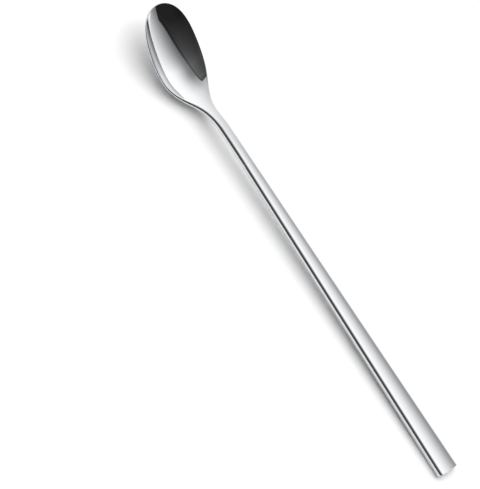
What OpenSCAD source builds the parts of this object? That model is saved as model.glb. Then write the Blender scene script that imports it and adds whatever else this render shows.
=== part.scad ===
// Long-handled iced tea spoon: a pressed bowl with its neck and tang, and a
// slim hollow handle made of two shells, closed at its end by a plug.
// Distances "from the tip" run along the spoon from the bowl's front edge.

/* [Overall] */
// Length from the tip of the bowl to the end of the handle
spoon_length = 230; // [205:1:260]

/* [Bowl] */
// Width of the mouth between the inner edges of the rim
mouth_width = 24.9; // [21:0.1:27]
// Length from the mouth's front edge to its widest place
mouth_front = 20.6; // [17:0.2:23]
// How much of the front's outline is an ellipse, where the rest is blunter
front_round_share = 0.62; // [0.4:0.02:1]
// Depth of the bowl below its rim
bowl_depth = 4.6; // [3.8:0.05:6]
// Thickness of the steel at the bowl's rim
bowl_wall = 0.75; // [0.6:0.05:1.1]
// Thickness of the steel in the middle of the bowl
bowl_floor = 1.45; // [1:0.05:2]
// Roundness of the bowl's section, where 0 is a parabola
bowl_roundness = 0.5; // [0.1:0.1:4]
// Height of the rim at the tip above the rim's lowest place
tip_rise = 10.7; // [8:0.1:13]
// Slope of the rim line at the tip, as a share of its mean slope
tip_slope_share = 0.49; // [0.3:0.01:1]
// Distance from the tip to the rim's lowest place
dip_at = 38.25; // [35:0.25:41]

/* [Neck] */
// Distance from the tip to the neck's narrowest place
waist_at = 59; // [54:0.5:64]
// Width of the neck at its narrowest place
waist_width = 5.7; // [5:0.1:6.5]
// Thickness of the neck at its narrowest place
waist_thickness = 2.5; // [2.4:0.1:3.4]
// Distance from the tip to where the sheet begins to thicken into the neck
thicker_from = 24; // [20:0.5:30]
// How soon the bowl narrows into the neck
flare_share = 7.8; // [6:0.2:12]
// Slope of the dished top at its edges there, in degrees
waist_dish = 4; // [2:0.5:12]

/* [Handle] */
// Distance from the tip to the joint of neck and handle
joint_at = 76; // [72:0.5:84]
// Height of the handle's underside above the table at that joint
joint_height = 5.2; // [4.5:0.05:7]
// Thickness of the handle's side at the joint
joint_thickness = 2.65; // [2.55:0.05:3.4]
// Width of the handle at its end
end_width = 11; // [8.5:0.1:13]
// Thickness of the handle's side at its end
end_thickness = 3.25; // [2.9:0.05:4.8]
// Slope of the dished top at its edges at the joint, in degrees
joint_dish = 9; // [4:0.5:16]
// Slope of the dished top at its edges at the handle's end, in degrees
end_dish = 13; // [6:0.5:20]
// Radius of the long edges on top
edge_radius = 1.2; // [0.9:0.05:1.25]
// Radius of the long edges underneath
base_radius = 1; // [0.6:0.05:1.05]
// How far the end face bows out at its middle
end_bow = 0.5; // [0.3:0.05:1.5]
// Radius of the end's two upright corners
end_corner_radius = 0.6; // [0.3:0.1:1.2]

/* [Hollow handle] */
// Thickness of the shells
shell_wall = 0.5; // [0.4:0.05:0.6]
// Distance of the seam of the shells below the top edge
seam_drop = 1.4; // [1.3:0.05:1.5]
// Length of the tang inside the handle
tang_length = 14; // [8:1:24]
// Width of the tang
tang_width = 2.2; // [1.6:0.1:2.4]
// Thickness of the tang
tang_thickness = 1; // [0.8:0.1:1.1]
// Length of the tang's tip that the braze round it leaves free
tang_tip = 2; // [1:0.5:6]
// Gap between the braze and what it fills
braze_gap = 0.02; // [0.01:0.01:0.05]
// Length of the plug that closes the handle's end
plug_length = 7; // [4:1:12]
// Gap between the plug and the shells
plug_gap = 0.05; // [0.03:0.01:0.1]

/* [Hidden] */

// Steps of the mesh: round the front, along the flare, along the neck,
// across the bowl, round each half of an edge, and across the handle
front_steps = 15;
flare_steps = 32;
neck_steps = 6;
cross_steps = 16;
edge_steps = 4;
dish_steps = 16;

mouth_half = mouth_width / 2;
waist_half = waist_width / 2;
end_half = end_width / 2;
cut_margin = end_width;
slope_step = bowl_wall / 1000;

// Half the sheet's thickness rounds the rim
rim_radius = bowl_wall / 2;

// Steepness of the bowl's wall at the rim, per unit of depth and width
wall_gain = bowl_roundness / 2 / (sqrt(1 + bowl_roundness) - 1);

// The mouth's front edge lies behind the tip by the rim's own roundness,
// which leans with the wall
tip_wall_slope =
  (4 - 2 * front_round_share) * bowl_depth * wall_gain / mouth_front
  + tip_slope_share * tip_rise / dip_at;
tip_inset = rim_radius * (1 + sin(atan(tip_wall_slope)));
widest_at = tip_inset + mouth_front;

// Behind its widest place the outline starts as round as it is in front
least_half = waist_half - dish_inset(edge_radius, waist_dish);
flare_round_share =
  front_round_share / 2 / (1 - least_half / mouth_half)
  * pow((waist_at - widest_at) / mouth_front, 2);

// The handle widens evenly from the joint, and the neck opens into that taper
handle_length = spoon_length - joint_at;
handle_stop = spoon_length + end_bow;
neck_length = joint_at - waist_at;
taper = (end_half - waist_half) / (handle_length + neck_length / 2);
joint_half = waist_half + taper * neck_length / 2;

// Heights of the handle's top edge
joint_top = joint_height + joint_thickness;
top_slope = (joint_top - end_thickness) / handle_length;
waist_top = joint_top + top_slope * neck_length / 2;

function blend(t) = let (s = min(max(t, 0), 1)) s * s * (3 - 2 * s);
function mix(a, b, t) = a + (b - a) * t;
function unit(v) = v / norm(v);

// Curve from height a to height b, where t runs from 0 to 1 and fa and fb
// are the slopes at its ends times its length
function curve(t, a, fa, b, fb) =
  a * (1 + 2 * t) * (1 - t) * (1 - t) + fa * t * (1 - t) * (1 - t)
  + b * t * t * (3 - 2 * t) - fb * t * t * (1 - t);

// Share of the neck's section at a distance d: 0 in the bowl, 1 at the waist
function neck_share(d) = blend((d - thicker_from) / (waist_at - thicker_from));

// Share of the neck's dished top: 0 up to the rim's lowest place, 1 at the waist
function dish_share(d) = blend((d - dip_at) / (waist_at - dip_at));
function dish_angle(d) = mix(waist_dish, joint_dish, blend((d - waist_at) / neck_length));

// Radius of the top and the bottom edges, and thickness at the edge
function top_radius(d) = mix(rim_radius, edge_radius, neck_share(d));
function bottom_radius(d) = mix(rim_radius, base_radius, neck_share(d));
function thickness(d) =
  d < waist_at
    ? mix(bowl_wall, waist_thickness, neck_share(d))
    : mix(waist_thickness, joint_thickness, (d - waist_at) / neck_length);

// What the rounded edge takes off the half-width on a dished top
function dish_inset(radius, angle) = radius * (1 + sin(angle));

// Half-width of the stem: even at the waist, then opening into the taper
function stem_half(d) =
  d < waist_at ? waist_half : waist_half + taper * pow(d - waist_at, 2) / 2 / neck_length;

// Square of the top surface's half-width at a distance d. The front is half
// an ellipse made blunter, and behind the widest place a bell curve runs into
// the stem.
function front(t) = 1 - front_round_share * t * t - (1 - front_round_share) * pow(t, 4);
function flare(t) = exp(-flare_round_share * t * t - flare_share * pow(t, 4));
function half_squared(d) =
  d < widest_at
    ? pow(mouth_half, 2) * front((widest_at - d) / mouth_front)
    : let (stem = stem_half(d) - dish_inset(edge_radius, dish_angle(d)))
      pow(stem + (mouth_half - least_half) * flare((d - widest_at) / (waist_at - widest_at)), 2);
function half(d) = sqrt(max(half_squared(d), 0));

// Height of the rim above its lowest place, ahead of that place
function rim_rise(d) =
  curve((dip_at - d) / dip_at, 0, 0, tip_rise, tip_slope_share * tip_rise);

// Height of the rim and of the neck's top edge, where low is the rim's
// lowest height
function edge_height(d, low) =
  d < dip_at ? low + rim_rise(d)
  : d < waist_at ? mix(low, waist_top, dish_share(d))
  : waist_top - top_slope * pow(d - waist_at, 2) / 2 / neck_length;

// Square of the width that is left to the rim, as a share of the mouth's
function left_share(d, y) = (half_squared(d) - y * y) / pow(mouth_half, 2);

// The bowl's hollow is deepest on the middle line. Its section is an arc
// whose depth follows that share.
function hollow(d, y) =
  bowl_depth * (sqrt(1 + bowl_roundness * left_share(d, y)) - 1) / (sqrt(1 + bowl_roundness) - 1);

// The bowl's hollow runs out into the neck's dished top
function dish(d, y) =
  dish_share(d) == 0 ? 0
  : dish_share(d) * tan(dish_angle(d)) / 2 * (half(d) - y * y / half(d));

function top_height(d, y, low) =
  edge_height(d, low) - hollow(d, y) * (1 - dish_share(d)) - dish(d, y);

// Slopes of the top surface along the spoon and across it
function slope_along(d, y) =
  (top_height(d + slope_step, y, 0) - top_height(d - slope_step, y, 0)) / slope_step / 2;
function slope_across(d, y) =
  (top_height(d, y + slope_step, 0) - top_height(d, y - slope_step, 0)) / slope_step / 2;

// Point of the top surface and its normal, at a share v of the half-width
function top_point(d, v, low) = [d, v * half(d), top_height(d, v * half(d), low)];
function normal(d, v) = unit([-slope_along(d, v * half(d)), -slope_across(d, v * half(d)), 1]);

// Upward direction of the edge's own section: the sheet's normal in the
// bowl, and straight up in the neck
function edge_up(d, side) = unit(mix(normal(d, side), [0, 0, 1], neck_share(d)));

// Outward direction of the edge: square to the edge line and to edge_up
function edge_out(d, side) =
  let (run = (half_squared(d + slope_step) - half_squared(d - slope_step)) / slope_step / 4,
       y = side * half(d),
       along = unit([half(d), side * run]),
       line = [along[0], along[1], slope_along(d, y) * along[0] + slope_across(d, y) * along[1]])
  unit(side * cross(edge_up(d, side), line));

// Centres of the two rounds of an edge
function top_centre(d, side, low) = top_point(d, side, low) - top_radius(d) * normal(d, side);
function bottom_centre(d, side, low) =
  let (up = edge_up(d, side),
       wall = thickness(d) - bottom_radius(d) - top_radius(d) * (normal(d, side) * up))
  top_centre(d, side, low) + (top_radius(d) - bottom_radius(d)) * edge_out(d, side) - wall * up;

// Points round an arc from direction a to direction b
function arc_points(centre, radius, a, b, steps) =
  let (whole = acos(a * b))
  [for (i = [0:steps])
    centre + radius * (a * sin(whole * (1 - i / steps)) + b * sin(whole * i / steps)) / sin(whole)];

// The whole edge from the top surface round to the underside
function edge_points(d, side, low) =
  concat(
    arc_points(top_centre(d, side, low), top_radius(d), normal(d, side), edge_out(d, side), edge_steps),
    arc_points(bottom_centre(d, side, low), bottom_radius(d), edge_out(d, side), -edge_up(d, side),
               edge_steps));

// Underside: a chord between the two edges, and below it the sag of the
// sheet, which fades out towards the neck
function sheet_point(d, v, low) =
  top_point(d, v, low) - mix(bowl_wall, bowl_floor, left_share(d, v * half(d))) * normal(d, v);
function bottom_edge(d, side, low) =
  bottom_centre(d, side, low) - bottom_radius(d) * edge_up(d, side);
function bottom_point(d, v, low) =
  let (t = (v + 1) / 2,
       chord = mix(bottom_edge(d, -1, low), bottom_edge(d, 1, low), t),
       sag = sheet_point(d, v, low)
         - mix(sheet_point(d, -1, low), sheet_point(d, 1, low), t))
  chord + (1 - dish_share(d)) * sag;

// Places of the mesh rings along the spoon
front_places =
  [for (i = [1:front_steps]) tip_inset + mouth_front * (1 - cos(90 * i / front_steps))];
flare_places =
  [for (i = [1:flare_steps]) mix(widest_at, waist_at, i / flare_steps)];
neck_places =
  [for (i = [1:neck_steps]) mix(waist_at, joint_at, i / neck_steps)];
places = concat(front_places, flare_places, neck_places);

// The rim's lowest height is what brings the bowl's underside to the table
rim_low = -min([for (d = places) if (d < dip_at) bottom_point(d, 0, 0)[2]]);

across = [for (i = [0:cross_steps]) -cos(180 * i / cross_steps)];
edge_count = 2 * edge_steps + 2;

// One closed ring: the top from the near to the far side, the far edge
// downwards, the underside back, and the near edge upwards
function reversed(list) = [for (i = [len(list) - 1:-1:0]) list[i]];
function inner(list) = [for (i = [1:len(list) - 2]) list[i]];
function ring(d) =
  concat(
    [for (v = across) top_point(d, v, rim_low)],
    inner(edge_points(d, 1, rim_low)),
    reversed([for (v = across) bottom_point(d, v, rim_low)]),
    reversed(inner(edge_points(d, -1, rim_low))));

// At the tip the ring shrinks to the rim's own round, which both sides share
tip_arc = edge_points(tip_inset, 1, rim_low);

// Underside and top edge of the handle at a distance d
function handle_share(d) = (d - joint_at) / handle_length;
function handle_foot(d) = mix(joint_height, 0, handle_share(d));
function handle_top(d) = mix(joint_top, end_thickness, handle_share(d));
function handle_half(d) = mix(joint_half, end_half, handle_share(d));
function handle_dish(d) = mix(joint_dish, end_dish, handle_share(d));

// Places across the handle, as shares of the half-width from near to far
dish_line = [for (i = [1:dish_steps - 1]) 2 * i / dish_steps - 1];

// Upper part of the handle's section from the near foot over the dished top
// to the far foot, by how far it lies inside the outer surface
function arch(d, inset, foot) =
  let (radius = max(edge_radius - inset, base_radius / 2),
       side = handle_half(d) - inset,
       reach = side - dish_inset(radius, handle_dish(d)),
       edge = handle_top(d) - inset,
       depth = reach * tan(handle_dish(d)) / 2,
       centre = edge - radius * cos(handle_dish(d)),
       over = [for (i = [0:edge_steps])
         let (turn = mix(-handle_dish(d), 90, i / edge_steps))
         [side - radius + radius * sin(turn), centre + radius * cos(turn)]])
  concat(
    [[-side, foot]],
    [for (p = reversed(over)) [-p[0], p[1]]],
    [for (v = dish_line) [v * reach, edge - depth * (1 - v * v)]],
    over,
    [[side, foot]]);

// Lower part of the section, from the far side round the base to the near
// side, with as many points as the upper part
function trough(d, inset, rim) =
  let (radius = max(base_radius - inset, base_radius / 3),
       side = handle_half(d) - inset,
       base = handle_foot(d) + inset,
       under = [for (i = [0:edge_steps])
         let (turn = 90 * i / edge_steps)
         [side - radius + radius * cos(turn), base + radius - radius * sin(turn)]])
  concat(
    [[side, rim]],
    under,
    [for (v = reversed(dish_line)) [v * (side - radius), base]],
    [for (p = reversed(under)) [-p[0], p[1]]],
    [[-side, rim]]);

function seam(d) = handle_top(d) - seam_drop;
function upper_outline(d) = concat(arch(d, 0, seam(d)), reversed(arch(d, shell_wall, seam(d))));
function lower_outline(d) = concat(trough(d, 0, seam(d)), reversed(trough(d, shell_wall, seam(d))));
function bore_outline(d, gap) =
  concat(inner(arch(d, shell_wall + gap, seam(d))), inner(trough(d, shell_wall + gap, seam(d))));

// Triangles that fill an outline of so many points like the rungs of a
// ladder, from its first and last point towards its middle
function rungs(count) =
  concat(
    [for (i = [0:floor(count / 2) - 2]) [i, i + 1, count - 1 - i]],
    [for (i = [0:floor(count / 2) - 2]) [i + 1, count - 2 - i, count - 1 - i]],
    count % 2 == 0 ? [] : [[floor(count / 2) - 1, floor(count / 2), floor(count / 2) + 1]]);

// Solid between two outlines of as many points, at two distances from the tip
module loft(start, start_outline, stop, stop_outline) {
  count = len(start_outline);
  polyhedron(
    points = concat(
      [for (p = start_outline) [start, p[0], p[1]]],
      [for (p = stop_outline) [stop, p[0], p[1]]]),
    faces = concat(
      [for (f = rungs(count)) reversed(f)],
      [for (f = rungs(count)) [count + f[0], count + f[1], count + f[2]]],
      [for (i = [0:count - 1]) [i, (i + 1) % count, count + i]],
      [for (i = [0:count - 1]) [(i + 1) % count, count + (i + 1) % count, count + i]]));
}

// Plan of the handle's end: a bowed face between two rounded corners
module end_outline() {
  bow_radius = (pow(end_half, 2) + pow(end_bow, 2)) / 2 / end_bow;
  bow_centre = spoon_length - bow_radius;
  corner_y = end_half - end_corner_radius;
  corner_x = bow_centre + sqrt(pow(bow_radius - end_corner_radius, 2) - pow(corner_y, 2));
  reach = 2 * bow_radius / (bow_radius - end_corner_radius);
  wedge = [reach * (corner_x - bow_centre), reach * corner_y];
  translate([bow_centre, 0])
    intersection() {
      circle(r = bow_radius, $fn = 360);
      polygon([[0, 0], [wedge[0], -wedge[1]], [wedge[0], wedge[1]]]);
    }
  for (side = [-1, 1])
    translate([corner_x, side * corner_y])
      circle(r = end_corner_radius, $fn = 48);
  translate([corner_x - 2 * cut_margin, -end_half])
    square([2 * cut_margin, end_width]);
  translate([corner_x - 2 * cut_margin, -corner_y])
    square([2 * cut_margin + end_corner_radius / 2, 2 * corner_y]);
}

// What is cut away beyond that plan
module end_trim() {
  translate([0, 0, -cut_margin])
    linear_extrude(height = 3 * cut_margin)
      difference() {
        translate([spoon_length - cut_margin, -cut_margin])
          square([2 * cut_margin, 2 * cut_margin]);
        end_outline();
      }
}

// Middle height of the room inside the handle at a distance d
function room_middle(d) =
  let (reach = handle_half(d) - shell_wall,
       depth = reach * tan(handle_dish(d)) / 2)
  (handle_foot(d) + handle_top(d) - depth) / 2;

// The tang, or the room for it, from start to stop along the handle's middle
// and with a gap all round
module tang_bar(start, stop, gap) {
  fall = room_middle(joint_at) - room_middle(joint_at + tang_length);
  translate([joint_at, 0, room_middle(joint_at)])
    rotate([0, atan(fall / tang_length), 0])
      translate([start, -tang_width / 2 - gap, -tang_thickness / 2 - gap])
        cube([stop - start, tang_width + 2 * gap, tang_thickness + 2 * gap]);
}

module bowl_and_neck() {
  rings = [for (d = places) ring(d)];
  ring_size = len(rings[0]);
  ring_count = len(rings);
  tip_size = edge_count;
  // Index in the tip's round of a place in a ring
  tip_index = concat(
    [for (i = [0:cross_steps]) 0],
    [for (i = [1:edge_count - 2]) i],
    [for (i = [0:cross_steps]) edge_count - 1],
    [for (i = [edge_count - 2:-1:1]) i]);
  skin = concat(
    [for (i = [0:ring_size - 1])
      let (a = tip_index[i], b = tip_index[(i + 1) % ring_size],
           c = tip_size + i, e = tip_size + (i + 1) % ring_size)
      each (a == b ? [[a, e, c]] : [[a, e, c], [a, b, e]])],
    [for (r = [0:ring_count - 2]) for (i = [0:ring_size - 1])
      let (a = tip_size + r * ring_size + i,
           b = tip_size + r * ring_size + (i + 1) % ring_size)
      each [[a, b + ring_size, a + ring_size], [a, b, b + ring_size]]],
    [[for (i = [0:ring_size - 1]) tip_size + (ring_count - 1) * ring_size + i]]);
  color("#d6d8db")
    translate([-spoon_length / 2, 0, 0])
      union() {
        polyhedron(points = concat(tip_arc, [for (r = rings) each r]), faces = skin);
        tang_bar(-tang_thickness, tang_length, 0);
      }
}

module handle_upper_shell() {
  color("#dcdee1")
    translate([-spoon_length / 2, 0, 0])
      difference() {
        loft(joint_at, upper_outline(joint_at), handle_stop, upper_outline(handle_stop));
        end_trim();
      }
}

module handle_lower_shell() {
  color("#b9bcc1")
    translate([-spoon_length / 2, 0, 0])
      difference() {
        loft(joint_at, lower_outline(joint_at), handle_stop, lower_outline(handle_stop));
        end_trim();
      }
}

module tang_braze() {
  stop = joint_at + tang_length - tang_tip;
  color("#cdbf95")
    translate([-spoon_length / 2, 0, 0])
      difference() {
        loft(joint_at, bore_outline(joint_at, braze_gap), stop, bore_outline(stop, braze_gap));
        tang_bar(-tang_thickness, tang_length, braze_gap);
      }
}

module end_plug() {
  start = spoon_length - plug_length;
  color("#c4c7cb")
    translate([-spoon_length / 2, 0, 0])
      difference() {
        loft(start, bore_outline(start, plug_gap), handle_stop, bore_outline(handle_stop, plug_gap));
        end_trim();
      }
}

bowl_and_neck();
handle_upper_shell();
handle_lower_shell();
tang_braze();
end_plug();
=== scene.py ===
# %% [markdown]
# # A long-handled iced tea spoon in polished steel
#
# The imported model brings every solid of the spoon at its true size: a pressed
# bowl with its neck and tang, two handle shells, the braze inside them and the
# plug in the handle's end. It is made of flat facets, and a mirror finish
# shows each of them. So this script works the same surfaces out again as
# smooth ones, from the same driving sizes, and gives them their steel.
#
# Lengths are named in millimetres and turned to metres when a mesh is made.
# Distances d run along the spoon from the tip of the bowl, y is across it,
# and z is the height above the table.

# %% Frame and units
import math

import bmesh
import bpy
import numpy as np
from mathutils import Matrix, Vector


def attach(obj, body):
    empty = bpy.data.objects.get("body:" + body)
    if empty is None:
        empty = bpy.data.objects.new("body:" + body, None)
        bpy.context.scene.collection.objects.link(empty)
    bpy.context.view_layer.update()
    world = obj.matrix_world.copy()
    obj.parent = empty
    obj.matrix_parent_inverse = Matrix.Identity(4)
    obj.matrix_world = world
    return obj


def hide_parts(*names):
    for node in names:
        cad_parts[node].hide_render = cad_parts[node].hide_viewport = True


MM = 0.001

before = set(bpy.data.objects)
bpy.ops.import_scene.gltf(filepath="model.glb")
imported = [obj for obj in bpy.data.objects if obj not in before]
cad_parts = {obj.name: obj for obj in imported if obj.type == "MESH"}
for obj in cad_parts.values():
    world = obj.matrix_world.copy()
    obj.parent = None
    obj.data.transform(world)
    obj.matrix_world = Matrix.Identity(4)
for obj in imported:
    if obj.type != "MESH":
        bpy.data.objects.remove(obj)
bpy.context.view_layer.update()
print("nodes:", sorted(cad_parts))

# %% [markdown]
# ## The sizes that drive the spoon
#
# These are the measures that a maker would write on the drawing. Everything
# below is worked out from them, so the smooth surfaces land where the solids
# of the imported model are.

# %% Driving sizes, in millimetres and degrees
SPOON_LENGTH = 230.0

MOUTH_WIDTH = 24.9
MOUTH_FRONT = 20.6
FRONT_ROUND_SHARE = 0.62
BOWL_DEPTH = 4.6
BOWL_WALL = 0.75
BOWL_FLOOR = 1.45
BOWL_ROUNDNESS = 0.5
TIP_RISE = 10.7
TIP_SLOPE_SHARE = 0.49
DIP_AT = 38.25

WAIST_AT = 59.0
WAIST_WIDTH = 5.7
WAIST_THICKNESS = 2.5
THICKER_FROM = 24.0
FLARE_SHARE = 7.8
WAIST_DISH = 4.0

JOINT_AT = 76.0
JOINT_HEIGHT = 5.2
JOINT_THICKNESS = 2.65
END_WIDTH = 11.0
END_THICKNESS = 3.25
JOINT_DISH = 9.0
END_DISH = 13.0
EDGE_RADIUS = 1.2
BASE_RADIUS = 1.0
END_BOW = 0.5
END_CORNER_RADIUS = 0.6

SHELL_WALL = 0.5
SEAM_DROP = 1.4
TANG_LENGTH = 14.0
TANG_WIDTH = 2.2
TANG_THICKNESS = 1.0
PLUG_LENGTH = 7.0
PLUG_GAP = 0.05

RIM_RADIUS = BOWL_WALL / 2
MOUTH_HALF = MOUTH_WIDTH / 2
WAIST_HALF = WAIST_WIDTH / 2
END_HALF = END_WIDTH / 2
SLOPE_STEP = BOWL_WALL / 1000
HANDLE_LENGTH = SPOON_LENGTH - JOINT_AT
NECK_LENGTH = JOINT_AT - WAIST_AT
print("handle", HANDLE_LENGTH, "mm and neck", NECK_LENGTH, "mm long")

# %% Small curves that the shapes share
def mix(a, b, t):
    """a where t is 0, b where t is 1, and evenly between them."""
    return a + (b - a) * t


def blend(t):
    """Smooth step: 3 t squared minus 2 t cubed, held at 0 and 1 outside."""
    s = np.clip(t, 0, 1)
    return s * s * (3 - 2 * s)


def unit(v):
    """Each vector divided by its own length."""
    return v / np.linalg.norm(v, axis=-1, keepdims=True)


def dot(a, b):
    """Sum of the products of the components, kept as a last axis of one."""
    return np.sum(a * b, axis=-1, keepdims=True)


print("smooth step at a quarter of the way:", blend(1 / 4))

# %% [markdown]
# ## The bowl's outline and its rim line
#
# Seen from above, the mouth of the bowl is a slightly blunt half ellipse in
# front. Behind its widest place a bell curve draws it in to the stem, with no
# corner on the way. Seen from the side, the rim falls from the raised tip to
# its lowest place, then climbs to the neck. A few curves of this kind, each
# with its ends and slopes fixed, keep the light running evenly over the
# steel, which a hand-moved mesh seldom does.

# %% Widths along the bowl and the neck
wall_gain = BOWL_ROUNDNESS / 2 / (math.sqrt(1 + BOWL_ROUNDNESS) - 1)
front_fall = (4 - 2 * FRONT_ROUND_SHARE) / MOUTH_FRONT
tip_wall_slope = front_fall * BOWL_DEPTH * wall_gain + TIP_SLOPE_SHARE * TIP_RISE / DIP_AT
TIP_INSET = RIM_RADIUS * (1 + math.sin(math.atan(tip_wall_slope)))
WIDEST_AT = TIP_INSET + MOUTH_FRONT
TAPER = (END_HALF - WAIST_HALF) / (HANDLE_LENGTH + NECK_LENGTH / 2)
JOINT_HALF = WAIST_HALF + TAPER * NECK_LENGTH / 2


def neck_share(d):
    """0 in the bowl, 1 from the waist on, a smooth step between."""
    return blend((d - THICKER_FROM) / (WAIST_AT - THICKER_FROM))


def dish_share(d):
    """0 up to the rim's lowest place, 1 from the waist on."""
    return blend((d - DIP_AT) / (WAIST_AT - DIP_AT))


def dish_angle(d):
    """Slope of the dished top at its edges in radians: the waist's, turning
    smoothly into the joint's."""
    return np.radians(mix(WAIST_DISH, JOINT_DISH, blend((d - WAIST_AT) / NECK_LENGTH)))


def dish_inset(radius, angle):
    """What a rounded edge takes off the half-width: the radius times one plus
    the sine of the dished top's slope."""
    return radius * (1 + np.sin(angle))


# Behind its widest place the outline starts as round as it is in front.
LEAST_HALF = WAIST_HALF - dish_inset(EDGE_RADIUS, math.radians(WAIST_DISH))
FLARE_LENGTH = WAIST_AT - WIDEST_AT
FLARE_ROUND_SHARE = FRONT_ROUND_SHARE / 2 / (1 - LEAST_HALF / MOUTH_HALF)
FLARE_ROUND_SHARE *= (FLARE_LENGTH / MOUTH_FRONT) ** 2


def half_squared(d):
    """Square of the top's half-width. In front, the mouth's half squared times
    one minus the round share of t squared and the rest of t to the fourth,
    where t is the share of the way to the tip. Behind, the stem plus a bell
    curve, squared. The bell is the exponential of minus a share of t squared
    and minus the flare times t to the fourth, t being the way to the waist."""
    t = (WIDEST_AT - d) / MOUTH_FRONT
    front = MOUTH_HALF**2 * (1 - FRONT_ROUND_SHARE * t**2 - (1 - FRONT_ROUND_SHARE) * t**4)
    opening = TAPER * np.maximum(d - WAIST_AT, 0) ** 2 / 2 / NECK_LENGTH
    stem = WAIST_HALF + opening - dish_inset(EDGE_RADIUS, dish_angle(d))
    t = (d - WIDEST_AT) / FLARE_LENGTH
    bell = np.exp(-FLARE_ROUND_SHARE * t**2 - FLARE_SHARE * t**4)
    return np.where(d < WIDEST_AT, front, (stem + (MOUTH_HALF - LEAST_HALF) * bell) ** 2)


def half_width(d):
    return np.sqrt(np.maximum(half_squared(d), 0))


print("widest place", round(WIDEST_AT, 2), "mm behind the tip")

# %% Height of the rim and of the neck's top edge
JOINT_TOP = JOINT_HEIGHT + JOINT_THICKNESS
TOP_SLOPE = (JOINT_TOP - END_THICKNESS) / HANDLE_LENGTH
WAIST_TOP = JOINT_TOP + TOP_SLOPE * NECK_LENGTH / 2


def edge_height(d, low):
    """Ahead of the dip, a cubic that starts level at the rim's lowest height
    and reaches the tip's rise at the tip's slope. Behind it a smooth step up
    to the waist, and a parabola that bends down into the handle's fall."""
    t = (DIP_AT - d) / DIP_AT
    rise = TIP_RISE * t * t * (3 - 2 * t) - TIP_SLOPE_SHARE * TIP_RISE * t * t * (1 - t)
    climb = mix(low, WAIST_TOP, dish_share(d))
    fall = WAIST_TOP - TOP_SLOPE * (d - WAIST_AT) ** 2 / 2 / NECK_LENGTH
    return np.where(d < DIP_AT, low + rise, np.where(d < WAIST_AT, climb, fall))


print("neck's top edge", round(WAIST_TOP, 2), "mm above the table at the waist")

# %% [markdown]
# ## The top surface
#
# The hollow of the bowl is deepest on the middle line, and its section is
# close to an arc, steep at the rim and flat on the bottom. Towards the neck
# the hollow runs out into a shallow dish, and that dish goes on along the
# handle and deepens to its end. It is what draws the soft gradient from
# white to grey across the handle.

# %% Heights and normals of the top surface
def left_share(d, y):
    """Square of the width that is left to the rim, as a share of the mouth's."""
    return (half_squared(d) - y * y) / MOUTH_HALF**2


def hollow(d, y):
    """Depth below the rim: the square root of one plus the roundness times
    the share that is left, scaled to the full depth in the middle."""
    bend = np.sqrt(1 + BOWL_ROUNDNESS * left_share(d, y)) - 1
    return BOWL_DEPTH * bend / (math.sqrt(1 + BOWL_ROUNDNESS) - 1)


def dish(d, y):
    """Parabola with the dish's slope at the edges, times its share."""
    half = np.maximum(half_width(d), SLOPE_STEP)
    return dish_share(d) * np.tan(dish_angle(d)) / 2 * (half - y * y / half)


def top_height(d, y, low):
    """Rim height less the fading hollow and the growing dish."""
    return edge_height(d, low) - hollow(d, y) * (1 - dish_share(d)) - dish(d, y)


def slopes(d, y):
    """Slopes along and across the spoon, from heights a tiny step apart."""
    along = top_height(d + SLOPE_STEP, y, 0) - top_height(d - SLOPE_STEP, y, 0)
    across = top_height(d, y + SLOPE_STEP, 0) - top_height(d, y - SLOPE_STEP, 0)
    return along / SLOPE_STEP / 2, across / SLOPE_STEP / 2


def top_point(d, v, low):
    """Point at a share v of the half-width, from -1 near to 1 far."""
    d, y = np.broadcast_arrays(d, v * half_width(d))
    return np.stack([d, y, top_height(d, y, low)], axis=-1)


def top_normal(d, v):
    """Minus both slopes and one upwards, made a unit vector."""
    along, across = slopes(*np.broadcast_arrays(d, v * half_width(d)))
    return unit(np.stack([-along, -across, np.ones_like(along)], axis=-1))


print("hollow at the widest place", round(float(hollow(np.array(WIDEST_AT), 0)), 2), "mm deep")

# %% [markdown]
# ## The rounded edge and the underside
#
# The bowl's steel is thin at the rim, which is a half round, and thickens
# evenly towards the middle, measured along the normal of the top. From the
# bowl's rear on it thickens into the neck: the half round parts into a large
# round on top and a slightly smaller one below, with a narrow flat side
# between them.

# %% Radii, thickness and the edge's own directions
def top_radius(d):
    return mix(RIM_RADIUS, EDGE_RADIUS, neck_share(d))


def bottom_radius(d):
    return mix(RIM_RADIUS, BASE_RADIUS, neck_share(d))


def thickness(d):
    """The bowl's wall thickening to the waist, then evenly to the joint."""
    bowl = mix(BOWL_WALL, WAIST_THICKNESS, neck_share(d))
    neck = mix(WAIST_THICKNESS, JOINT_THICKNESS, (d - WAIST_AT) / NECK_LENGTH)
    return np.where(d < WAIST_AT, bowl, neck)


def edge_up(d, side):
    """The top's normal in the bowl, turning straight up in the neck."""
    return unit(mix(top_normal(d, side), np.array([0, 0, 1.0]), neck_share(d)[..., None]))


def edge_out(d, side):
    """Square to the edge line and to edge_up, pointing out of the steel. The
    edge line's run comes from the slope of the squared half-width."""
    half = half_width(d)
    run = (half_squared(d + SLOPE_STEP) - half_squared(d - SLOPE_STEP)) / SLOPE_STEP / 4
    level = unit(np.stack([half, side * run], axis=-1))
    along, across = slopes(d, side * half)
    rise = along * level[..., 0] + across * level[..., 1]
    line = np.concatenate([level, rise[..., None]], axis=-1)
    return unit(side * np.cross(edge_up(d, side), line))


print("outwards on the far rim at the dip:", np.round(edge_out(np.array(DIP_AT), 1), 2))

# %% Centres of the two rounds

def top_centre(d, side, low):
    """Centre of the upper round: a radius below the top's edge."""
    return top_point(d, side, low) - top_radius(d)[..., None] * top_normal(d, side)


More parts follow.
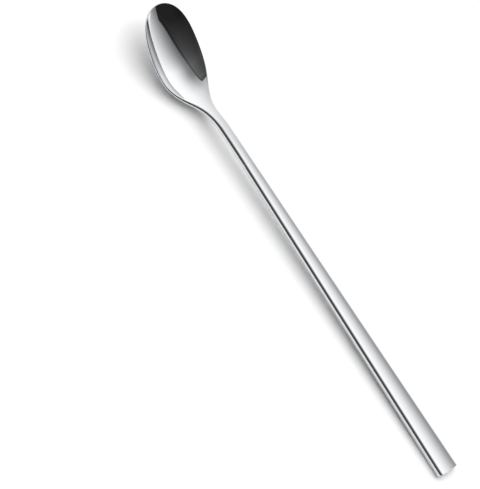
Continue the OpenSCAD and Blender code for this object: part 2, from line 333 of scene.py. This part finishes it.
def bottom_centre(d, side, low):
    """Centre of the lower round: flush with the upper one on the outside, and
    the rest of the thickness below it."""
    up = edge_up(d, side)
    wall = thickness(d)[..., None] - bottom_radius(d)[..., None]
    wall = wall - top_radius(d)[..., None] * dot(top_normal(d, side), up)
    step = (top_radius(d) - bottom_radius(d))[..., None]
    return top_centre(d, side, low) + step * edge_out(d, side) - wall * up


# %% Points round an edge and along the underside
def arc(centre, radius, start, stop, steps):
    """Points round a centre that turn evenly from one direction to another,
    each direction weighted by the sine of the turn that is left to it."""
    whole = np.arccos(np.clip(dot(start, stop), -1, 1))[None]
    t = (np.arange(steps + 1) / steps).reshape(-1, *[1] * start.ndim)
    turned = start * np.sin(whole * (1 - t)) + stop * np.sin(whole * t)
    return centre + radius[..., None] * turned / np.sin(whole)


def edge_points(d, side, low, steps):
    """The upper round from the top outwards, then the lower one inwards."""
    up, out = edge_up(d, side), edge_out(d, side)
    upper = arc(top_centre(d, side, low), top_radius(d), top_normal(d, side), out, steps)
    lower = arc(bottom_centre(d, side, low), bottom_radius(d), out, -up, steps)
    return np.concatenate([upper, lower])


def bottom_edge(d, side, low):
    return bottom_centre(d, side, low) - bottom_radius(d)[..., None] * edge_up(d, side)


def bottom_point(d, v, low):
    """A chord between the two lower edges, and below it the sag of the sheet:
    how far the offset top lies off its own chord, fading into the neck."""
    t = (v + 1) / 2

    def sheet(share):
        wall = mix(BOWL_WALL, BOWL_FLOOR, left_share(d, share * half_width(d)))
        return top_point(d, share, low) - wall[..., None] * top_normal(d, share)

    chord = mix(bottom_edge(d, -1, low), bottom_edge(d, 1, low), t)
    sag = sheet(v) - mix(sheet(-1), sheet(1), t)
    return chord + (1 - dish_share(d))[..., None] * sag


# %% The lowest rim height brings the underside to the table
LOWEST_TRIES = 400
places_in_bowl = np.linspace(WIDEST_AT, DIP_AT, LOWEST_TRIES)
RIM_LOW = -bottom_point(places_in_bowl, 0.0, 0)[..., 2].min()
print("rim at its lowest", round(RIM_LOW, 2), "mm above the table")

# %% [markdown]
# ## Meshes from grids
#
# Each piece is a grid of points, ring after ring, so one function can lay
# the faces for all of them. Faces point outwards, and where a ring shrinks to
# a point its doubles are merged. Edges sharper than a set angle stay crisp,
# and everything else is shaded smooth.

# %% Faces of a grid and a mesh from points
def grid_faces(rings, count):
    """Four corners for each cell between neighbouring rings, all the way
    round each ring."""
    start = np.arange(rings - 1)[:, None] * count
    here, beside = np.arange(count)[None], (np.arange(count)[None] + 1) % count
    cells = [start + here, start + beside, start + count + beside, start + count + here]
    return np.stack(cells, axis=-1).reshape(-1, 4)


def ladder_faces(ring, flip):
    """Rungs across a ring of an even number of points, from its first and
    last point towards its middle."""
    ring = np.asarray(ring)
    low, high = ring[: len(ring) // 2], ring[: len(ring) // 2 - 1 : -1]
    rungs = np.stack([low[:-1], low[1:], high[1:], high[:-1]], axis=-1)
    return rungs[:, ::-1] if flip else rungs


SHARP_DEGREES = 30
SAME_PLACE = 0.0001


def make_piece(name, rings, faces):
    """A mesh object at the origin from rings of points in millimetres, with
    its poles merged and its faces turned outwards."""
    points = rings.reshape(-1, 3) - [SPOON_LENGTH / 2, 0, 0]
    mesh = bpy.data.meshes.new(name)
    mesh.from_pydata((points * MM).tolist(), [], np.concatenate(faces).tolist())
    worked = bmesh.new()
    worked.from_mesh(mesh)
    bmesh.ops.remove_doubles(worked, verts=worked.verts, dist=SAME_PLACE * MM)
    bmesh.ops.recalc_face_normals(worked, faces=worked.faces)
    worked.to_mesh(mesh)
    volume = worked.calc_volume(signed=True) / MM**3
    open_edges = sum(not edge.is_manifold for edge in worked.edges)
    worked.free()
    mesh.shade_smooth()
    mesh.set_sharp_from_angle(angle=math.radians(SHARP_DEGREES))
    piece = bpy.data.objects.new(name, mesh)
    bpy.context.scene.collection.objects.link(piece)
    print(name, len(mesh.polygons), "faces,", round(volume, 1), "mm3,", open_edges, "open edges")
    return piece


print("ladder across a ring of six:", ladder_faces(range(6), False).tolist())

# %% [markdown]
# ## Bowl, neck and tang
#
# On the real spoon the bowl, the neck and the tang are one forging. The tang
# is the slim tongue that reaches into the hollow handle. The piece is one
# closed skin here too: rings run from the tip to the neck's end, step in to
# the tang, and close at the tang's end.

# %% Handle lines that the tang and the shells follow
def handle_share(d):
    return (d - JOINT_AT) / HANDLE_LENGTH


def handle_foot(d):
    return mix(JOINT_HEIGHT, 0, handle_share(d))


def handle_top(d):
    return mix(JOINT_TOP, END_THICKNESS, handle_share(d))


def handle_half(d):
    return mix(JOINT_HALF, END_HALF, handle_share(d))


def handle_dish(d):
    """Slope of the handle's dished top at its edges, in radians."""
    return np.radians(mix(JOINT_DISH, END_DISH, handle_share(d)))


def room_middle(d):
    """Half-way between the handle's foot and the deepest line of its top."""
    depth = (handle_half(d) - SHELL_WALL) * np.tan(handle_dish(d)) / 2
    return (handle_foot(d) + handle_top(d) - depth) / 2


print("room's middle at the joint", round(float(room_middle(JOINT_AT)), 2), "mm high")

# %% Rings of the bowl and the neck
ACROSS = 48
EDGE_STEPS = 6
FRONT_RINGS = 56
FLARE_RINGS = 120
NECK_RINGS = 24
across_shares = -np.cos(np.pi * np.arange(ACROSS + 1) / ACROSS)

front_turn = np.pi / 2 * np.arange(FRONT_RINGS + 1) / FRONT_RINGS
places = np.concatenate([
    TIP_INSET + MOUTH_FRONT * (1 - np.cos(front_turn)),
    mix(WIDEST_AT, WAIST_AT, np.arange(1, FLARE_RINGS + 1) / FLARE_RINGS),
    mix(WAIST_AT, JOINT_AT, np.arange(1, NECK_RINGS + 1) / NECK_RINGS)])

top_line = top_point(places[:, None], across_shares[None], RIM_LOW)
bottom_line = np.stack([bottom_point(places, v, RIM_LOW) for v in across_shares], axis=1)
far_edge = np.moveaxis(edge_points(places, 1, RIM_LOW, EDGE_STEPS), 0, 1)[:, 1:-1]
near_edge = np.moveaxis(edge_points(places, -1, RIM_LOW, EDGE_STEPS), 0, 1)[:, 1:-1]
rings = np.concatenate([top_line, far_edge, bottom_line[:, ::-1], near_edge[:, ::-1]], axis=1)
print("rings", rings.shape[0], "of", rings.shape[1], "points")

# %% Rings of the tang, with as many points as a ring of the neck
def tang_ring(d, grow=1.0):
    """A rectangle round the middle of the handle's room: the neck ring's
    shares across it, and its edge points spread down the two sides."""
    half, rise = grow * TANG_WIDTH / 2, grow * TANG_THICKNESS / 2
    down = np.linspace(1, -1, far_edge.shape[1] + 2)[1:-1]
    side, top = np.ones_like(down), np.ones_like(across_shares)
    across = np.concatenate([across_shares, side, across_shares[::-1], -side])
    upwards = np.concatenate([top, down, -top, down[::-1]])
    return np.stack([np.full_like(across, d), across * half, room_middle(d) + upwards * rise], axis=-1)


TANG_CHAMFER = TANG_THICKNESS / 5
tang_end = JOINT_AT + TANG_LENGTH
narrow = 1 - 2 * TANG_CHAMFER / TANG_WIDTH
tang_rings = np.stack([
    tang_ring(JOINT_AT), tang_ring(tang_end - TANG_CHAMFER), tang_ring(tang_end, narrow)])
rings = np.concatenate([rings, tang_rings])
last = (rings.shape[0] - 1) * rings.shape[1] + np.arange(rings.shape[1])

# The ladder closes the tang's end, starting half-way down its near side.
tang_cap = ladder_faces(np.roll(last, far_edge.shape[1] // 2), False)
bowl = make_piece("bowl_neck_and_tang", rings, [grid_faces(*rings.shape[:2]), tang_cap])

# %% [markdown]
# ## The hollow handle
#
# The handle is two pressed shells that meet in a seam along both sides, a
# little below the top edge. The upper one carries the dished top and its two
# rounded edges, the lower one is a plain channel. Both taper evenly, so each
# point of their section moves on a straight line from the joint to the end.
# Where a shell stops, its outer corner is eased by a few hundredths of a
# millimetre, as polishing does, and that is all that shows of the seams.

# %% Sections of the two shells
DISH_STEPS = 40
ROUND_STEPS = 8
dish_line = np.linspace(-1, 1, DISH_STEPS + 1)[1:-1]
quarter = np.arange(ROUND_STEPS + 1) / ROUND_STEPS


def arch(d, inset, foot):
    """From the near foot up the side, round the edge, across the dish and
    down the far side. The dish is a parabola between the two tangent points,
    and each edge turns from the dish's slope to the upright."""
    angle = handle_dish(d)
    radius = np.maximum(EDGE_RADIUS - inset, BASE_RADIUS / 2)
    side = handle_half(d) - inset
    reach = side - dish_inset(radius, angle)
    edge = handle_top(d) - inset
    depth = reach * np.tan(angle) / 2
    turn = mix(-angle, np.pi / 2, quarter)
    over_y = side - radius + radius * np.sin(turn)
    over_z = edge - radius * np.cos(angle) + radius * np.cos(turn)
    y = np.concatenate([[-side], -over_y[::-1], dish_line * reach, over_y, [side]])
    z = np.concatenate([[foot], over_z[::-1], edge - depth * (1 - dish_line**2), over_z, [foot]])
    return np.stack([y, z], axis=-1)


def trough(d, inset, rim):
    """From the far rim down the side, round the base corner, across the flat
    base and up the near side."""
    radius = np.maximum(BASE_RADIUS - inset, BASE_RADIUS / 3)
    side = handle_half(d) - inset
    base = handle_foot(d) + inset
    turn = np.pi / 2 * quarter
    under_y = side - radius + radius * np.cos(turn)
    under_z = base + radius - radius * np.sin(turn)
    flat = dish_line[::-1] * (side - radius)
    y = np.concatenate([[side], under_y, flat, -under_y[::-1], [-side]])
    z = np.concatenate([[rim], under_z, np.full_like(flat, base), under_z[::-1], [rim]])
    return np.stack([y, z], axis=-1)


def seam(d):
    return handle_top(d) - SEAM_DROP


joint_sections = arch(JOINT_AT, 0, seam(JOINT_AT)), trough(JOINT_AT, 0, seam(JOINT_AT))
print("section points:", [len(section) for section in joint_sections])

# %% Plan of the handle's end
def end_place(y, inset):
    """Distance from the tip where the end face lies at y: an arc that bows
    out in the middle, and two corner rounds tangent to it and to the sides.
    An inset moves the whole face inwards."""
    bow_radius = (END_HALF**2 + END_BOW**2) / 2 / END_BOW
    bow_centre = SPOON_LENGTH - bow_radius
    corner_y = END_HALF - END_CORNER_RADIUS
    corner_d = bow_centre + math.sqrt((bow_radius - END_CORNER_RADIUS) ** 2 - corner_y**2)
    meet_y = corner_y * bow_radius / (bow_radius - END_CORNER_RADIUS)
    far = np.abs(y)
    bow = bow_centre + np.sqrt((bow_radius - inset) ** 2 - np.minimum(far, meet_y) ** 2)
    radius = END_CORNER_RADIUS - inset
    over = np.clip(far - corner_y, 0, radius)
    corner = corner_d + np.sqrt(radius**2 - over**2)
    return np.where(far < meet_y - inset, bow, corner)


print("end face bows from", round(float(end_place(np.array(END_HALF), 0)), 2), "to", SPOON_LENGTH)

# %% A shell from its outer and inner section
SEAM_EASE = 0.04
END_EASE = 0.12
EASE_STEPS = 3
STATIONS = 48


def shell(name, section):
    """Rings that run out along the outer section and back along the inner
    one. At the joint and at the end the outer rings turn in by a quarter
    round of the ease, so that the steel's corners aren't knife-sharp."""
    start, stop = JOINT_AT, SPOON_LENGTH

    def ruled(share, inset, ease):
        """Section points at a share of the way from the joint to the end face."""
        first, final = section(start, inset), section(stop, inset)
        end = end_place(final[:, 0], ease)
        d = mix(start, end, share) if share < 1 else end
        t = ((d - start) / (stop - start))[:, None]
        return np.concatenate([d[:, None], mix(first, final, t)], axis=-1)

    turn = np.pi / 2 * np.arange(EASE_STEPS + 1) / EASE_STEPS
    outer = [ruled(s, 0, END_EASE) for s in np.linspace(0, 1, STATIONS)]
    outer[0][:, 0] += SEAM_EASE
    into_joint = [ruled(0, SEAM_EASE * (1 - np.cos(a)), 0) for a in turn[:0:-1]]
    for ring, a in zip(into_joint, turn[:0:-1]):
        ring[:, 0] += SEAM_EASE * (1 - np.sin(a))
    over_end = [ruled(1, END_EASE * (1 - np.cos(a)), END_EASE) for a in turn[1:]]
    for ring, a in zip(over_end, turn[1:]):
        ring[:, 0] += END_EASE * np.sin(a)
    inner = [ruled(s, SHELL_WALL, 0) for s in np.linspace(1, 0, STATIONS)]
    loop = np.stack(into_joint + outer + over_end + inner)
    count, points = loop.shape[:2]
    along = grid_faces(points, count)
    rings = np.swapaxes(loop, 0, 1)
    near_foot = ladder_faces(np.arange(count), False)
    far_foot = ladder_faces((points - 1) * count + np.arange(count), True)
    return make_piece(name, rings, [along, near_foot, far_foot])


upper_shell = shell("upper_handle_shell", lambda d, inset: arch(d, inset, seam(d)))
lower_shell = shell("lower_handle_shell", lambda d, inset: trough(d, inset, seam(d)))

# %% [markdown]
# ## The plug in the handle's end
#
# The plug fills the shells for the last few millimetres and is ground flush
# with them. A hairline of gap runs round it. Its outline is that of the
# shells' room, so the sections of both shells are used again, further in.

# %% Plug
PLUG_RINGS = 5


def room_outline(d):
    """The outline of the shells' room at d, drawn in by the gap."""
    inset = SHELL_WALL + PLUG_GAP
    over, under = arch(d, inset, seam(d)), trough(d, inset, seam(d))
    return np.concatenate([over[1:-1], under[1:-1]])


def plug_ring(share):
    """The room's outline at a share of the plug's length: a straight blend
    of those at the joint and at the handle's end."""
    final = room_outline(SPOON_LENGTH)
    d = mix(SPOON_LENGTH - PLUG_LENGTH, end_place(final[:, 0], 0), share)
    t = handle_share(d)[:, None]
    return np.concatenate([d[:, None], mix(room_outline(JOINT_AT), final, t)], axis=-1)


plug_rings = np.stack([plug_ring(share) for share in np.linspace(0, 1, PLUG_RINGS)])
plug_ends = [row * plug_rings.shape[1] + np.arange(plug_rings.shape[1]) for row in (0, PLUG_RINGS - 1)]
plug_caps = [ladder_faces(plug_ends[0], False), ladder_faces(plug_ends[1], True)]
plug = make_piece("handle_end_plug", plug_rings, [grid_faces(*plug_rings.shape[:2]), *plug_caps])

# %% [markdown]
# ## Materials
#
# Flatware steel is an 18/10 stainless alloy, nearly neutral with a faint cool
# cast. It is buffed on cloth wheels until it mirrors the room. What is left
# of the buffing is very fine: lines along the handle and a faint haze that
# comes and goes, which only softens the edges of what is mirrored. The real
# lines lie a few hundredths of a millimetre apart. They are drawn some ten
# times as coarse, which is as fine as a picture of the whole spoon can show.
# The end face is ground flat on a belt, so it is duller.

# %% Colours and nodes
def srgb(code):
    """Linear colour from a hex code: each channel is divided by 12.92 if it
    is dark, and otherwise raised to the power 2.4."""
    channels = np.array([int(code[i : i + 2], 16) for i in (1, 3, 5)]) / 255
    linear = np.where(channels <= 0.04045, channels / 12.92, ((channels + 0.055) / 1.055) ** 2.4)
    return (*linear.tolist(), 1.0)


def add_node(tree, kind, links=(), **settings):
    """A node with its settings, its inputs set or linked by name or number."""
    node = tree.nodes.new(kind)
    for name, value in settings.items():
        setattr(node, name, value)
    for socket, value in dict(links).items():
        if isinstance(value, bpy.types.NodeSocket):
            tree.links.new(value, node.inputs[socket])
        else:
            node.inputs[socket].default_value = value
    return node


def new_material(name):
    """A material with an empty node tree and its output node."""
    material = bpy.data.materials.new(name)
    material.use_nodes = True
    material.node_tree.nodes.clear()
    return material, material.node_tree, add_node(material.node_tree, "ShaderNodeOutputMaterial")


# %% Buffed steel
NOISE_LOW, NOISE_HIGH = 0.3, 0.7


def buffed_steel(name, colour, line_mm, line_length_mm, haze_mm, rough, relief_mm):
    """Stainless steel buffed to a mirror. Noise stretched along the spoon
    gives the buffing lines, and a broad noise the haze. Their mean moves the
    roughness between its two values, over the range where noise mostly lies."""
    material, tree, output = new_material(name)
    place = add_node(tree, "ShaderNodeTexCoord").outputs["Object"]
    stretch = add_node(tree, "ShaderNodeMapping", {
        "Vector": place, "Scale": (line_mm / line_length_mm, 1, 1)})
    lines = add_node(tree, "ShaderNodeTexNoise", {
        "Vector": stretch.outputs["Vector"], "Scale": 1 / (line_mm * MM), "Detail": 3})
    haze = add_node(tree, "ShaderNodeTexNoise", {
        "Vector": place, "Scale": 1 / (haze_mm * MM), "Detail": 2})
    both = add_node(tree, "ShaderNodeMix", {
        "Factor": 0.5, "A": lines.outputs["Fac"], "B": haze.outputs["Fac"]})
    dulled = add_node(tree, "ShaderNodeMapRange", {
        "Value": both.outputs["Result"], "From Min": NOISE_LOW, "From Max": NOISE_HIGH,
        "To Min": rough[0], "To Max": rough[1]})
    bump = add_node(tree, "ShaderNodeBump", {
        "Height": lines.outputs["Fac"], "Distance": relief_mm * MM, "Strength": 1.0})
    shader = add_node(tree, "ShaderNodeBsdfPrincipled", {
        "Base Color": srgb(colour), "Metallic": 1.0,
        "Roughness": dulled.outputs["Result"], "Normal": bump.outputs["Normal"]})
    tree.links.new(shader.outputs["BSDF"], output.inputs["Surface"])
    return material


# %% The steel of the bowl, of the handle and of the end face
BUFFED_COLOUR, GROUND_COLOUR = "#DCDDDF", "#C1C2C4"
bowl_steel = buffed_steel(
    "mirror_buffed_stainless_bowl", BUFFED_COLOUR, line_mm=0.5, line_length_mm=4, haze_mm=9,
    rough=(0.03, 0.07), relief_mm=0.00002)
handle_steel = buffed_steel(
    "mirror_buffed_stainless_handle", BUFFED_COLOUR, line_mm=0.25, line_length_mm=12, haze_mm=14,
    rough=(0.04, 0.09), relief_mm=0.00002)
ground_steel = buffed_steel(
    "fine_ground_stainless_end", GROUND_COLOUR, line_mm=0.12, line_length_mm=0.12, haze_mm=3,
    rough=(0.12, 0.2), relief_mm=0.00005)
print("materials:", [material.name for material in bpy.data.materials])

# %% Silver braze inside the handle
def cast_braze(name, colour, ripple_mm, rough, relief_mm):
    """Silver solder as it froze: dull, faintly golden and rippled."""
    material, tree, output = new_material(name)
    place = add_node(tree, "ShaderNodeTexCoord").outputs["Object"]
    ripple = add_node(tree, "ShaderNodeTexNoise", {
        "Vector": place, "Scale": 1 / (ripple_mm * MM), "Detail": 4})
    dulled = add_node(tree, "ShaderNodeMapRange", {
        "Value": ripple.outputs["Fac"], "To Min": rough[0], "To Max": rough[1]})
    bump = add_node(tree, "ShaderNodeBump", {
        "Height": ripple.outputs["Fac"], "Distance": relief_mm * MM})
    shader = add_node(tree, "ShaderNodeBsdfPrincipled", {
        "Base Color": srgb(colour), "Metallic": 1.0,
        "Roughness": dulled.outputs["Result"], "Normal": bump.outputs["Normal"]})
    tree.links.new(shader.outputs["BSDF"], output.inputs["Surface"])
    return material


braze_metal = cast_braze(
    "cast_silver_braze", "#CDBF95", ripple_mm=0.8, rough=(0.35, 0.6), relief_mm=0.05)
print("braze:", braze_metal.name)

# %% Each piece gets its steel and takes its place in the frame
for piece, material, node, slot in (
    (bowl, bowl_steel, "bowl_and_neck", "bowl_steel"),
    (upper_shell, handle_steel, "handle_upper_shell", "upper_shell_steel"),
    (lower_shell, handle_steel, "handle_lower_shell", "lower_shell_steel"),
    (plug, ground_steel, "end_plug", "plug_steel"),
):
    piece.data.materials.append(material)
    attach(piece, "root")
    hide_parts(node)

for material_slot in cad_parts["tang_braze"].material_slots:
    material_slot.material = braze_metal

# %% [markdown]
# ## Camera
#
# The picture is taken from 55 degrees above the table, with a lens so long
# that the spoon doesn't taper with distance. The camera is rolled until the handle
# runs down to the right. Its aim comes from three facts of the picture: where
# the tip of the bowl lies, how steeply the spoon runs, and how many pixels
# long it is.

# %% Camera
PICTURE_WIDTH, PICTURE_HEIGHT = 480, 489
TIP_PIXEL = (155.7, 4.5)
SPOON_PIXELS = 551.5
TIP_LIFT_PIXELS = 21.5
CAMERA_ELEVATION = math.radians(55)
CAMERA_ROLL = math.radians(55.937)
LENS = 1200.0
SENSOR = 36.0

pixel = SPOON_LENGTH / SPOON_PIXELS * MM
flat = Vector((1, 0, 0))
steep = Vector((0, math.sin(CAMERA_ELEVATION), math.cos(CAMERA_ELEVATION)))
right = math.cos(CAMERA_ROLL) * flat + math.sin(CAMERA_ROLL) * steep
up = -math.sin(CAMERA_ROLL) * flat + math.cos(CAMERA_ROLL) * steep
back = right.cross(up)

across_pixels = PICTURE_WIDTH / 2 - TIP_PIXEL[0]
down_pixels = PICTURE_HEIGHT / 2 - TIP_PIXEL[1]
along_aim = across_pixels * math.cos(CAMERA_ROLL) + down_pixels * math.sin(CAMERA_ROLL)
above_aim = across_pixels * math.sin(CAMERA_ROLL) - down_pixels * math.cos(CAMERA_ROLL)
aim = Vector((
    along_aim * pixel - SPOON_LENGTH / 2 * MM,
    (above_aim + TIP_LIFT_PIXELS) * pixel / math.sin(CAMERA_ELEVATION), 0))
distance = PICTURE_HEIGHT * pixel * LENS / SENSOR

lens = bpy.data.cameras.new("camera")
lens.lens, lens.sensor_width = LENS, SENSOR
lens.clip_start, lens.clip_end = distance / 100, distance * 10
camera = bpy.data.objects.new("camera", lens)
turned = Matrix((right, up, back)).transposed().to_4x4()
camera.matrix_world = Matrix.Translation(aim + back * distance) @ turned
bpy.context.scene.collection.objects.link(camera)
bpy.context.scene.camera = camera
print("camera", round(distance, 3), "m away, aimed at", np.round(np.array(aim) / MM, 1))

# %% [markdown]
# ## Table
#
# The table is plain white. For the camera, and in the steel, its colour is
# lifted until the lit table is as white as the picture's background, and the
# spoon's soft shadow stays on it. Light Path tells those rays from the light
# that the table passes on, which keeps the plain colour, so the light on the
# spoon isn't changed.

# %% Table
TABLE_SIZE = 3.0
TABLE_WHITE = 0.8
TABLE_SEEN = 1.08


def white_table():
    """Matt white whose colour is lifted for camera and mirror rays."""
    material, tree, output = new_material("matt_white_table")
    path = add_node(tree, "ShaderNodeLightPath").outputs
    looked = path["Is Camera Ray"]
    for kind, other in (
        ("MAXIMUM", "Is Glossy Ray"), ("MAXIMUM", "Is Transmission Ray"), ("SUBTRACT", "Diffuse Depth"),
    ):
        compared = add_node(tree, "ShaderNodeMath", {0: looked, 1: path[other]}, operation=kind)
        looked = compared.outputs[0]
    white = add_node(tree, "ShaderNodeMapRange", {
        "Value": looked, "To Min": TABLE_WHITE, "To Max": TABLE_SEEN})
    colour = add_node(tree, "ShaderNodeCombineColor", {
        0: white.outputs["Result"], 1: white.outputs["Result"], 2: white.outputs["Result"]})
    shader = add_node(tree, "ShaderNodeBsdfDiffuse", {"Color": colour.outputs["Color"]})
    tree.links.new(shader.outputs["BSDF"], output.inputs["Surface"])
    return material


table_corners = np.array([(-1, -1, 0), (1, -1, 0), (1, 1, 0), (-1, 1, 0)]) * TABLE_SIZE / 2
table_mesh = bpy.data.meshes.new("table")
table_mesh.from_pydata(table_corners.tolist(), [], [(0, 1, 2, 3)])
table = bpy.data.objects.new("table", table_mesh)
table_mesh.materials.append(white_table())
bpy.context.scene.collection.objects.link(table)
print("table", TABLE_SIZE, "m wide")

# %% [markdown]
# ## Studio light
#
# Polished steel shows the room more than itself. Product pictures of it are
# taken in a tent of white cloth that is lit from behind, with a dark opening
# for the camera. The world shader draws that tent as a function of direction:
# bright low down behind the spoon, dimmer overhead and to the right. In front
# lies the opening. Four planes through the spoon bound it, each given by the
# direction square to it, and a round joins them. A darker line runs just
# inside its edge. Camera rays see plain white instead of all this.

# %% Levels and places of the studio
CLOTH_FRONT, CLOTH_REAR = 0.266, 1.39
CLOTH_FROM, CLOTH_TO = 0.0, 0.96
LEFT_GAIN = 1.32
LEFT_FROM, LEFT_TO = 0.25, 0.87
RIGHT_SHARE = 0.148
RIGHT_FROM, RIGHT_TO = 0.187, 0.897
DARK_LEFT, DARK_RIGHT = 0.15, 0.016
DARK_FROM, DARK_TO = 0.22, 0.79
DARK_FRONT_SHARE, DARK_EDGE_SHARE = 0.53, 1.29
DARK_FRONT, DARK_EDGE = -0.5, 0.0
OPENING_TOP = (0, 1, 0.065)
OPENING_RIGHT = (-1.311, 1, 0.99)
OPENING_LOW = (-0.702, 1, -0.181)
OPENING_LEFT = (-1, 0, -0.57)
OPENING_ROUND = 0.98
LEFT_ROUND = 0.1
LINE_SHARE = 0.5
LINE_FROM, LINE_TO = -0.08, -0.03
EDGE_SOFT = 0.012
print("cloth", CLOTH_FRONT, "to", CLOTH_REAR, "and opening", DARK_RIGHT, "to", DARK_LEFT)

# %% Studio
def studio_world():
    """Brightness from the direction's components: x along the spoon, y away
    from the camera and z upwards. The cloth brightens with y, gains on the
    left by the square of x where y is small, and falls off on the right. The
    level steps from the opening's to the cloth's where the distance from the
    opening's planes turns positive."""
    world = bpy.data.worlds.new("white_tent")
    world.use_nodes = True
    tree = world.node_tree
    tree.nodes.clear()
    output = add_node(tree, "ShaderNodeOutputWorld")
    direction = add_node(tree, "ShaderNodeTexCoord").outputs["Generated"]
    parts = add_node(tree, "ShaderNodeSeparateXYZ", {0: direction}).outputs

    def ramp(value, low, high, low_value, high_value, kind="SMOOTHSTEP"):
        return add_node(tree, "ShaderNodeMapRange", {
            "Value": value, "From Min": low, "From Max": high,
            "To Min": low_value, "To Max": high_value,
        }, interpolation_type=kind).outputs["Result"]

    def calculate(kind, *values):
        links = dict(enumerate(values))
        return add_node(tree, "ShaderNodeMath", links, operation=kind).outputs[0]

    def plane(normal):
        return add_node(tree, "ShaderNodeVectorMath", {
            0: direction, 1: Vector(normal).normalized()}, operation="DOT_PRODUCT").outputs["Value"]

    across, away = parts[0], parts[1]
    cloth = ramp(away, CLOTH_FROM, CLOTH_TO, CLOTH_FRONT, CLOTH_REAR)
    left = calculate("MULTIPLY", across, calculate("MINIMUM", across, 0.0))
    left = calculate("MULTIPLY", left, ramp(away, LEFT_FROM, LEFT_TO, LEFT_GAIN, 0.0, "LINEAR"))
    cloth = calculate("ADD", cloth, left)
    cloth = calculate("MULTIPLY", cloth, ramp(across, RIGHT_FROM, RIGHT_TO, 1.0, RIGHT_SHARE))

    right_edge = calculate("MAXIMUM", plane(OPENING_RIGHT), plane(OPENING_LOW))
    inside = calculate("SMOOTH_MIN", plane(OPENING_TOP), right_edge, OPENING_ROUND)
    inside = calculate("SMOOTH_MAX", inside, plane(OPENING_LEFT), LEFT_ROUND)
    dark = ramp(across, DARK_FROM, DARK_TO, DARK_LEFT, DARK_RIGHT, "LINEAR")
    for fade in (
        ramp(away, DARK_FRONT, DARK_EDGE, DARK_FRONT_SHARE, DARK_EDGE_SHARE, "LINEAR"),
        ramp(inside, LINE_FROM, LINE_TO, 1.0, LINE_SHARE),
    ):
        dark = calculate("MULTIPLY", dark, fade)
    lit = ramp(inside, -EDGE_SOFT, EDGE_SOFT, 0.0, 1.0)
    level = calculate("MULTIPLY_ADD", lit, calculate("SUBTRACT", cloth, dark), dark)
    seen = add_node(tree, "ShaderNodeLightPath").outputs["Is Camera Ray"]
    level = calculate("MULTIPLY_ADD", seen, calculate("SUBTRACT", 1.0, level), level)
    background = add_node(tree, "ShaderNodeBackground", {"Color": (1, 1, 1, 1), "Strength": level})
    tree.links.new(background.outputs["Background"], output.inputs["Surface"])
    return world


bpy.context.scene.world = studio_world()
print("world:", bpy.context.scene.world.name)

# %% [markdown]
# ## The lamp overhead
#
# Most of the light on the table comes from a wide soft box above it, which
# leans a little to the rear and gives the spoon its soft shadow in front. A
# sun lamp with a wide angle does the same at any distance. The steel doesn't
# mirror it, because the tent's own brightness stands for it there.

# %% Overhead lamp
LAMP_LEVEL = 0.55
LAMP_SPREAD = math.radians(80)
LAMP_LEAN = math.radians(14)
sun = bpy.data.lights.new("overhead_softbox", "SUN")
sun.energy = LAMP_LEVEL * math.pi
sun.angle = LAMP_SPREAD
lamp = bpy.data.objects.new("overhead_softbox", sun)
lamp.rotation_euler = (-LAMP_LEAN, 0, 0)
lamp.visible_glossy = False
bpy.context.scene.collection.objects.link(lamp)
bpy.context.scene.view_settings.view_transform = "Standard"
print("lamp at", LAMP_LEVEL, "of plain light")
